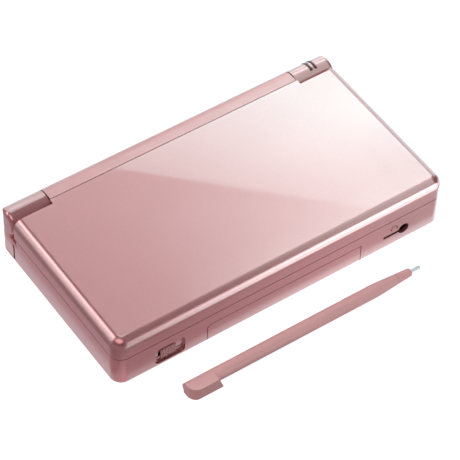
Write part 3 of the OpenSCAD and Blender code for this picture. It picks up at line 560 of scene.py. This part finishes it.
def tidy(ob, bevel=0.12, segments=2, angle=40.0, dissolve=0.2, clamp=True):
    """Merges the flats left by the booleans, rounds the crisp edges and smooths."""
    bm = bmesh.new()
    bm.from_mesh(ob.data)
    bmesh.ops.remove_doubles(bm, verts=bm.verts, dist=1e-6)
    bmesh.ops.dissolve_limit(bm, angle_limit=math.radians(dissolve), verts=bm.verts, edges=bm.edges, delimit=set())
    bm.to_mesh(ob.data)
    bm.free()
    if bevel:
        b = ob.modifiers.new("bevel", "BEVEL")
        b.limit_method = "ANGLE"
        b.angle_limit = math.radians(angle)
        b.width = bevel * MM
        b.segments = segments
        b.use_clamp_overlap = clamp
        apply_modifiers(ob)
    shade(ob, 42.0)
    return ob


def finish_piece(ob, node, slot=None):
    slot = slot or SLOT_OF[node]
    ob.data.materials.clear()
    ob.data.materials.append(MATS[slot])
    for p in ob.data.polygons:
        p.material_index = 0
    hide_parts(node)
    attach(ob, NODE_BODY[node])
    return ob


def top_arc(r, top, n):
    return [(r - r * math.cos(math.radians(a)), top - r + r * math.sin(math.radians(a))) for a in [90.0 * i / n for i in range(n + 1)]]


# lid shell
def make_lid():
    prof = [(0.0, LID_Z0)] + top_arc(3.5, TOP, 20)
    t_shape = arc(-62.0, -32.45, 2.9, 180, 270, 8) + arc(62.0, -32.45, 2.9, 270, 360, 8) + [(64.9, 25.15), (50.6, 25.15), (50.6, 40), (-50.6, 40), (-50.6, 25.15), (-64.9, 25.15)]
    ops = [("DIFFERENCE", prism(t_shape, 12.3, 20.1)),
           ("DIFFERENCE", box((-68, 28.8, 12.3), (68, 40, 23))),
           ("DIFFERENCE", box((-68, 26.75, 12.3), (-50.85, 40, 23))),
           ("DIFFERENCE", box((50.85, 26.75, 12.3), (68, 40, 23))),
           ("DIFFERENCE", box((-51.0, 25.0, 12.3), (51.0, 40, 20.1)))]
    ob = combine(case_solid(prof), ops, "lid_shell")
    tidy(ob, 0.15)
    finish_piece(ob, "lid_case")


def front_plate(x0, x1, top, y0, y1):
    return prism([(x0, -1), (x1, -1), (x1, top), (x0 + 1.4, top), (x0, top - 1.0)], y0, y1, "y")


def base_prof():
    r = 2.0
    low = [(r - r * math.sin(math.radians(a)), r - r * math.cos(math.radians(a))) for a in [90.0 * i / 12 for i in range(13)]]
    return low + [(0.0, BASE_TOP)]


def headphone_mark(x=45.5, z=9.2):
    """A small pair of headphones pressed into the front: a band and two pads."""
    band = arc(x, z, 1.25, 0, 180, 16) + list(reversed(arc(x, z, 0.92, 0, 180, 16)))
    out = [("DIFFERENCE", prism(band, -38, -36.70, "y"))]
    for s in (-1, 1):
        out.append(("DIFFERENCE", box((x + s * 1.12 - 0.32, -38, z - 0.85), (x + s * 1.12 + 0.32, -36.62, z + 0.12))))
    return out


def make_base():
    ring = case_solid(base_prof())
    t_shape = arc(-62.0, -32.45, 2.9, 180, 270, 8) + arc(62.0, -32.45, 2.9, 270, 360, 8) + [(64.9, 26.6), (43.6, 26.6), (43.6, 35.35), (-43.6, 35.35), (-43.6, 26.6), (-64.9, 26.6)]
    D, U = "DIFFERENCE", "UNION"
    ops = [(D, prism(t_shape, 1.4, 15.0))]
    screws = [(sx * x, y) for sx in (-1, 1) for x, y in ((60.6, -31.2), (38.5, 31.0))]
    for x in (-31.7, 30.95):
        ops.append((U, box((x, -35.5, 1.3), (x + 1, -8, 7.25))))
    for x, y in screws:
        ops.append((U, cyl(2.3, 1.3, 7.25, x, y, n=32)))
    ops.append((U, box((53.2, -3.9, 1.3), (65.0, 5.4, 7.25))))
    ops.append((D, box((-68, 25.4, 9.75), (68, 40, 15))))
    ops.append((D, box((-30.5, -38, 1.4), (30.5, -34.35, 7.2))))
    ops.append((D, front_plate(-31.15, 31.65, 8.8, -38, -35.3)))
    ops.append((D, box((-31.1, -38, -1), (31.6, -34.5, 1.45))))
    ops.append((D, box((-17.3, 34.35, 2.9), (17.3, 38, 7.05))))
    ops.append((D, box((23.8, 34.35, 2.9), (32.2, 38, 6.6))))
    ops.append((D, cyl(2.15, -38, -34.35, 49.6, 6.5, "y")))
    ops.append((D, box((41.1, -38, 5.75), (49.6, -34.35, 6.85))))
    ops.append((D, prism(rr(11.8, 7.2, 1.6, 8, -45.7, 5.8), -38, -35.95, "y")))
    ops.append((D, box((-50.9, -38, 4.4), (-40.1, -35.75, 7.2))))
    ops.append((D, box((-49.8, -38, 4.4), (-42.8, -34.35, 7.2))))
    ops.append((D, prism(rr(13, 4.6, 1.2, 8, 16, 6.2), 65.6, 68, "x")))
    ops.append((D, box((63.9, 11.4, 5.0), (68, 20.6, 7.4))))
    ops.append((D, cyl(2.97, 52, 54.31, 0, 4.35, "x")))
    ops.append((D, box((54.3, -2.75, 1.15), (68, 4.2, 7.0))))
    ops.append((D, box((-63.2, -29.2, -1), (-33.2, 27, 0.9))))
    ops.append((D, box((-61.6, -27.6, -1), (-34.8, 24, 2.4))))
    ops.append((D, cyl(0.8, -0.5, 2.9, -36.6, 25.4, n=24)))
    for x, y in screws:
        ops.append((D, cyl(2.1, -0.5, 2.8, x, y, n=32)))
        ops.append((D, cyl(1.05, -0.5, 8.9, x, y, n=24)))
    for s in (-1, 1):
        ops.append((D, cyl(2.1, -0.5, 0.8, s * 58.5, 31.4, n=32)))
        zone = [(-68, 26.88), (-63.2, 26.88)] + list(reversed(arc(-60.4, 30.85, 2.8, 90, 180, 10))) + [(-44.98, 33.65), (-44.98, 38.5), (-68, 38.5)]
        zone = [(s * -x if s > 0 else x, y) for x, y in zone]
        ops.append((D, prism(zone, 2.2, 9.1)))
        ops.append((D, cyl(2.0, 2.2, 9.1, s * 46.9, 34.4, n=32)))
        ops.append((D, cyl(0.62, 1.4, 9.7, s * 46.9, 34.4, n=20)))
        ops.append((D, box((min(s * 60.2, s * 55.8), 30, 3.6), (max(s * 60.2, s * 55.8), 34, 8.0))))
    ops.append((D, box((-31.4, 33.75, 3.0), (-25.4, 38, 8.2))))
    ops.append((D, cyl(0.77, 2.65, 8.55, -28.4, 35.95, n=24)))
    ops += headphone_mark()
    ob = combine(ring, ops, "base_shell")
    tidy(ob, 0.12)
    finish_piece(ob, "lower_case")


def make_dust_cover():
    a = combine(case_solid(base_prof()), [("INTERSECT", front_plate(-30.93, 31.42, 8.57, -38, -35.35))], "dust_a")
    b = combine(case_solid(base_prof()), [("INTERSECT", box((-31.0, -38, -1), (31.5, -34.6, 1.4)))], "dust_b")
    plug = box((-30.25, -35.45, 1.55), (30.25, -27.5, 7.05))
    bm = bmesh.new()
    bm.from_mesh(b.data)
    ops = [("UNION", bm), ("UNION", plug), ("DIFFERENCE", box((-29.2, -34.4, 2.4), (29.2, -27, 6.2)))]
    base = bmesh.new()
    base.from_mesh(a.data)
    ob = combine(base, ops, "dust_cover_shell")
    for o in (a, b):
        bpy.data.objects.remove(o)
    tidy(ob, 0.12)
    finish_piece(ob, "slot2_dust_cover")


def cad_bm(node):
    bm = bmesh.new()
    bm.from_mesh(NODES[node].data)
    return bm


def knuckle_solid(s):
    """Hinge knuckle: a barrel on a pedestal with a rounded outer end, drawn along x."""
    def ring(x, i):
        r = 4.95 - i
        last = 180 + math.degrees(math.acos((3.3 - i) / r))
        pts = [(36.95 - i, 10.6)] + arc(32.0, 16.3, r, 0, last, 56) + [(28.7 + i, 10.6)]
        return [(s * x, y, z) for y, z in pts]
    e = 1.5
    rings = [ring(50.95, 0.0)]
    rings += [ring(66.5 - e + e * math.sin(math.radians(a)), e - e * math.cos(math.radians(a))) for a in [11.25 * k for k in range(9)]]
    bm = loft(rings)
    return bm


def make_deck():
    D, U = "DIFFERENCE", "UNION"
    ops = []
    for s in (-1, 1):
        a, c, b = sorted((s * 50.7, s * 52.8, s * 70))
        ops.append((D, box((a, 28.65, 11.0), (b, 40, 22))))
        ops.append((D, box((min(s * 52.8, s * 70), 28.65, 10.92), (max(s * 52.8, s * 70), 40, 12))))
        ops.append((D, box((a, 26.9, 13.1), (b, 29, 22))))
    ob = combine(cad_bm("upper_case"), ops, "deck_shell")
    tidy(ob, 0.12, angle=30.0)
    finish_piece(ob, "upper_case")
    for s, name in ((-1, "knuckle_left"), (1, "knuckle_right")):
        ops = [("INTERSECT", prism(rr(2 * HW, 2 * HD, CR, 18), 10.92, 22)),
               (D, box((min(s * 50, s * 52.8), 28, 10), (max(s * 50, s * 52.8), 40, 11.0))),
               (D, cyl(2.32, *sorted((s * 50, s * 62.5)), 32.0, 16.3, "x"))]
        if s > 0:
            for x in (58.2, 60.2):
                seat = arc(32.0, 16.3, 5.6, 2.4, 112.6, 24) + list(reversed(arc(32.0, 16.3, 4.4, 2.4, 112.6, 24)))
                ops.append((D, prism(seat, x - 0.5, x + 0.5, "x")))
        k = combine(knuckle_solid(s), ops, name)
        tidy(k, 0.12, angle=30.0)
        finish_piece(k, "upper_case", slot="shell_gloss")


def make_stylus():
    y0, zc, x0 = -51.45, 2.9, -49.0
    prof = [(x0 + 2.0, 2.4), (25.0, 2.4), (27.0, 2.37), (29.0, 2.28), (35.2, 1.86), (35.35, 1.70), (35.75, 1.67), (35.9, 1.81),
            (41.1, 1.47), (41.45, 1.42), (41.72, 1.30), (41.9, 1.12), (42.0, 0.9)]
    n = 48
    rings = [[(x, y0 + r * math.cos(2 * math.pi * i / n), zc + r * math.sin(2 * math.pi * i / n)) for i in range(n)] for x, r in prof]
    shaft = loft(rings)
    outline = [(-55.3, 0.35), (-54.95, 0.0), (-49.85, 0.0), (-49.85, 1.11)] + arc(y0, zc, 2.4, -48.2, 90, 24) + [(-55.3, 5.3)]
    cap = prism(outline, x0, -37.0, "x")
    plan = arc(x0 + 3.6, -55.3 + 3.6, 3.6, 180, 270, 20) + [(-36, -55.3), (-36, -48.5), (x0 + 0.5, -48.5), (x0, -49.0)]
    ops = [("INTERSECT", prism(plan, -1, 7)),
           ("DIFFERENCE", prism([(-36.95, -0.5), (-36.95, 0.5), (-38.5, 5.0), (-38.9, 5.6), (-36, 5.6), (-36, -0.5)], -57, -46, "y"))]
    c = combine(cap, ops, "stylus_cap")
    tidy(c, 0.38, segments=3, angle=35.0)
    bm = bmesh.new()
    bm.from_mesh(c.data)
    bpy.data.objects.remove(c)
    ob = combine(bm, [("UNION", shaft), ("DIFFERENCE", cyl(0.63, 37, 43, y0, zc, "x", 24))], "stylus_shell")
    tidy(ob, 0.0)
    finish_piece(ob, "stylus_body")


def make_jack():
    ob = combine(cad_bm("headphone_jack"), [("DIFFERENCE", box((40, -39, 0), (60, -34.5, 12)))], "headphone_jack_piece")
    tidy(ob, 0.1)
    finish_piece(ob, "headphone_jack")


make_lid()
make_base()
make_dust_cover()
make_deck()
make_stylus()
make_jack()

for node, bevel in (("lid_bezel", 0.15), ("battery_cover", 0.12), ("shoulder_left", 0.2), ("shoulder_right", 0.2),
                    ("dpad", 0.3), ("button_a", 0.15), ("button_b", 0.15), ("button_x", 0.15), ("button_y", 0.15),
                    ("button_start", 0.3), ("button_select", 0.3), ("volume_slider", 0.08), ("power_slider", 0.08),
                    ("stylus_nib", 0.0), ("led_pipe_power", 0.08), ("led_pipe_charge", 0.08),
                    ("rubber_feet", 0.2), ("case_screws", 0.08), ("battery_cover_screw", 0.06), ("strap_bar", 0.1),
                    ("lid_bumpers", 0.2), ("lid_screws", 0.06), ("hinge_sleeve_left", 0.1),
                    ("hinge_unit_right", 0.1), ("upper_window", 0.15), ("touch_panel", 0.15), ("slot1_reader", 0.1),
                    ("slot2_connector", 0.1), ("power_connector", 0.1)):
    from_cad(node, node + "_piece", bevel=bevel, segments=2)

for n, ob in NODES.items():
    slot = SLOT_OF.get(n, "shell_satin")
    if not ob.data.materials:
        ob.data.materials.append(MATS[slot])
    for s in ob.material_slots:
        s.material = MATS[slot]
